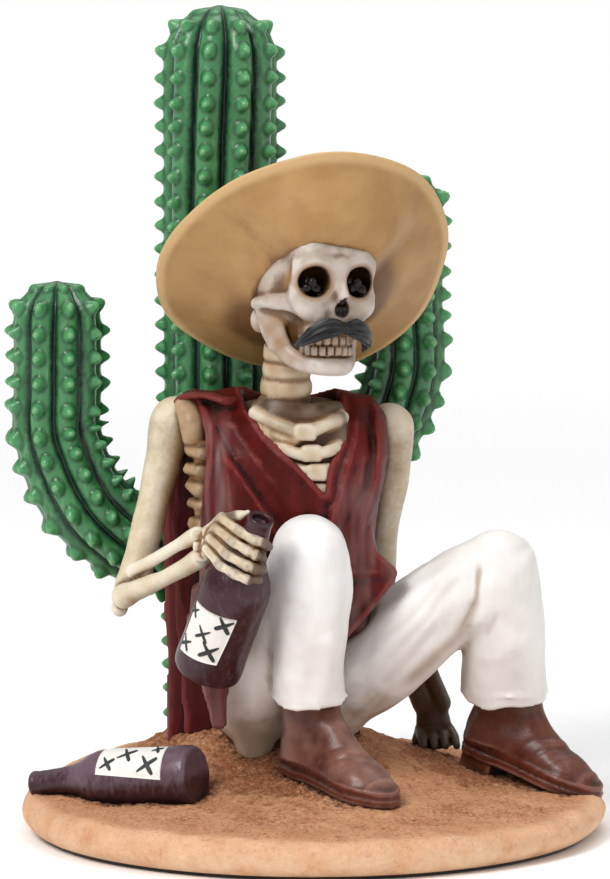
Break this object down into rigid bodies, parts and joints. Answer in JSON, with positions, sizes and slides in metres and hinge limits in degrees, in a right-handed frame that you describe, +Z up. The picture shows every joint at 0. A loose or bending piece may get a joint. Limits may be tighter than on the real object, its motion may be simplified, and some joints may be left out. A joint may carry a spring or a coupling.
{
  "type": "skeleton figurine",
  "caption": "Small painted resin skeleton in hat and vest, seated against a ribbed cactus with a bottle in hand, on a round sandy base; shelf ornament that stands by its own weight.",
  "frame": {"origin": "centre of the flat underside of the felt pad", "axes": "+Z up along the cactus trunk, the figure faces -Y, +X towards the figure's left hand (right in the picture)"},
  "size_m": [0.1227, 0.1182, 0.1667],
  "materials": {
    "painted_resin": "hand-painted cast resin, satin to semi-gloss",
    "felt": "pressed felt"
  },
  "bodies": {
    "root": {"figurine": "painted_resin", "felt_pad": "felt"}
  },
  "joints": []
}
